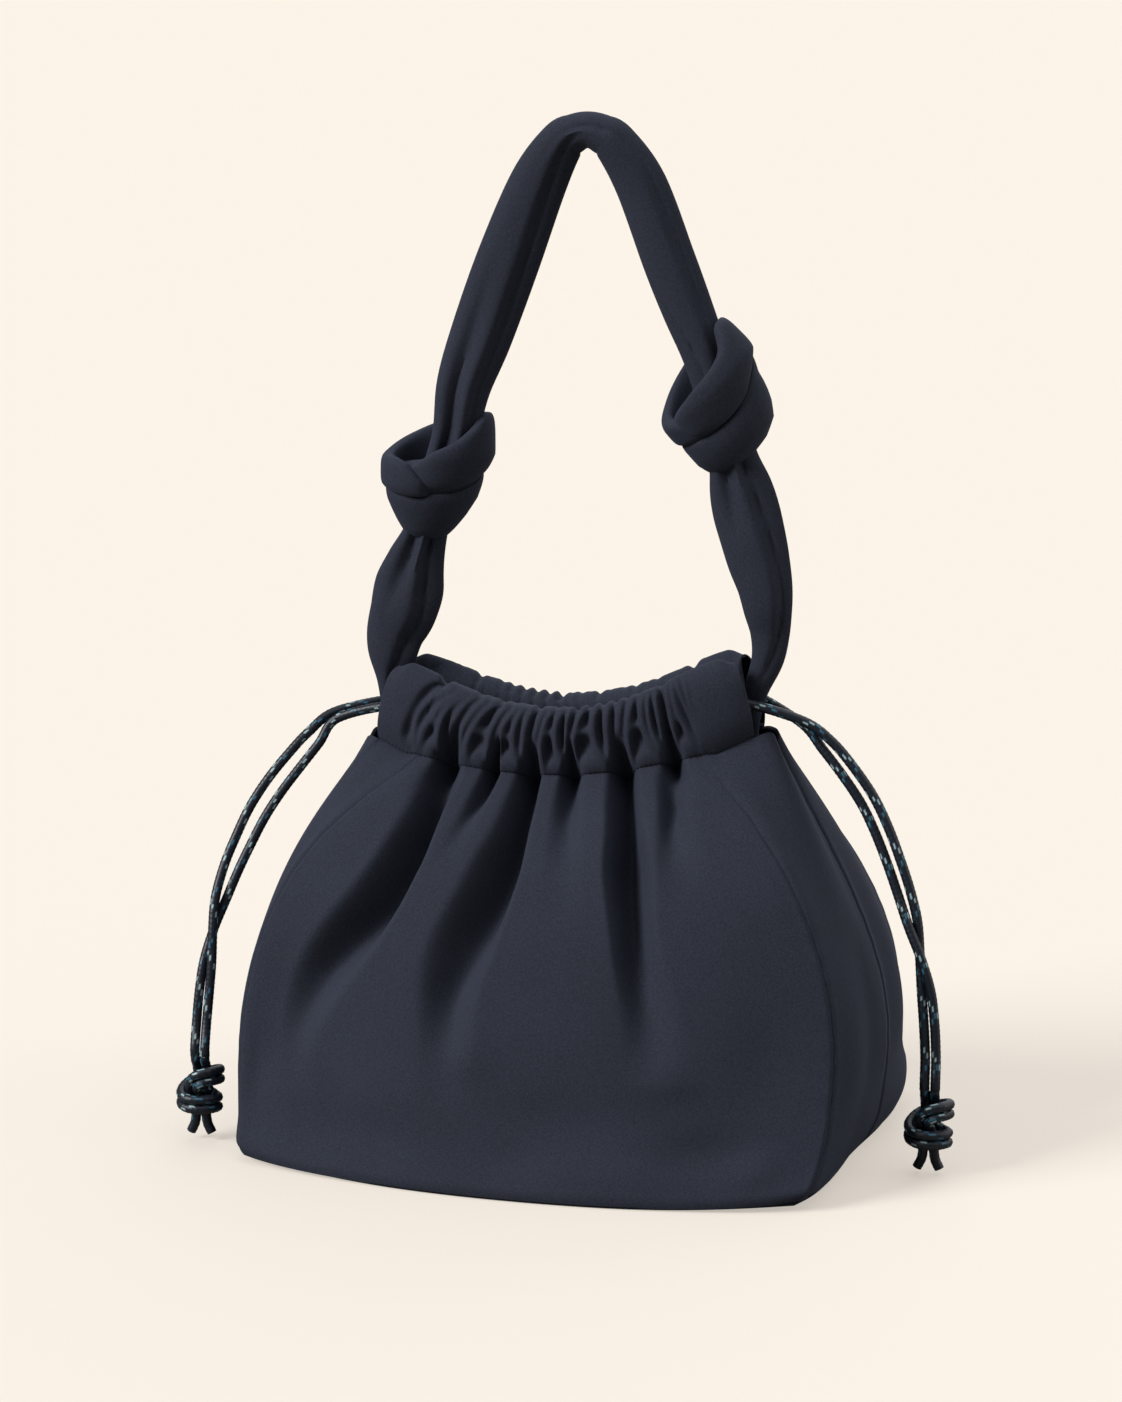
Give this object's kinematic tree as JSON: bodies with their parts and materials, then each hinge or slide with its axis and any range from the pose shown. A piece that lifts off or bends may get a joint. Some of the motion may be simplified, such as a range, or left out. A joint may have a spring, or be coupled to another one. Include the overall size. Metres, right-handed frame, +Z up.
{
  "type": "drawstring pouch",
  "caption": "Soft upright fabric pouch with a gathered drawstring mouth, knotted cord ends at both sides and a fabric handle tied in overhand knots.",
  "frame": {"origin": "centre of the base, on the surface that the pouch stands on", "axes": "+Z up, -Y to the front, +X to the viewer's right"},
  "size_m": [0.3328, 0.204, 0.4425],
  "materials": {
    "cloth": "matte brushed microfibre, dark navy",
    "base_cloth": "matte brushed microfibre, dark navy",
    "board": "plain pressed board",
    "cord": "braided cord with pale tracer flecks"
  },
  "bodies": {
    "pouch": {"base_panel": "base_cloth", "base_board": "board", "front_panel": "cloth", "rear_panel": "cloth", "left_side_front": "cloth", "left_side_rear": "cloth", "right_side_front": "cloth", "right_side_rear": "cloth", "left_tunnel_end_front": "cloth", "left_tunnel_end_rear": "cloth", "right_tunnel_end_front": "cloth", "right_tunnel_end_rear": "cloth", "strap_end_left": "cloth", "strap_end_right": "cloth"},
    "front_rim": {"front_tunnel": "cloth", "left_cord_front_run": "cord", "right_cord_front_run": "cord"},
    "rear_rim": {"rear_tunnel": "cloth", "left_cord_rear_run": "cord", "right_cord_rear_run": "cord"},
    "handle": {"strap_arch": "cloth", "strap_knot_left": "cloth", "strap_knot_right": "cloth", "strap_leg_left": "cloth", "strap_leg_right": "cloth"},
    "left_cord": {"left_cord_front_strand": "cord", "left_cord_rear_strand": "cord", "left_cord_knot": "cord", "left_cord_front_tail": "cord", "left_cord_rear_tail": "cord"},
    "right_cord": {"right_cord_front_strand": "cord", "right_cord_rear_strand": "cord", "right_cord_knot": "cord", "right_cord_front_tail": "cord", "right_cord_rear_tail": "cord"}
  },
  "joints": [
    {"name": "handle_swing", "type": "hinge", "parent": "pouch", "child": "handle", "pos_m": [0, 0, 0.224], "axis": [1, 0, 0], "range_deg": [-90, 90]},
    {"name": "mouth_front", "type": "slide", "parent": "pouch", "child": "front_rim", "axis": [0, -1, 0], "range_m": [-0.008, 0.014]},
    {"name": "mouth_rear", "type": "slide", "parent": "pouch", "child": "rear_rim", "axis": [0, 1, 0], "range_m": [-0.008, 0.014]},
    {"name": "left_cord_pull", "type": "slide", "parent": "pouch", "child": "left_cord", "axis": [-1, 0, 0], "range_m": [-0.0029, 0.0017]},
    {"name": "right_cord_pull", "type": "slide", "parent": "pouch", "child": "right_cord", "axis": [1, 0, 0], "range_m": [-0.0029, 0.0017]}
  ],
  "couplings": [
    {"joint": "mouth_rear", "follows": "mouth_front", "ratio": 1},
    {"joint": "left_cord_pull", "follows": "mouth_front", "ratio": -0.2},
    {"joint": "right_cord_pull", "follows": "mouth_front", "ratio": -0.2}
  ]
}
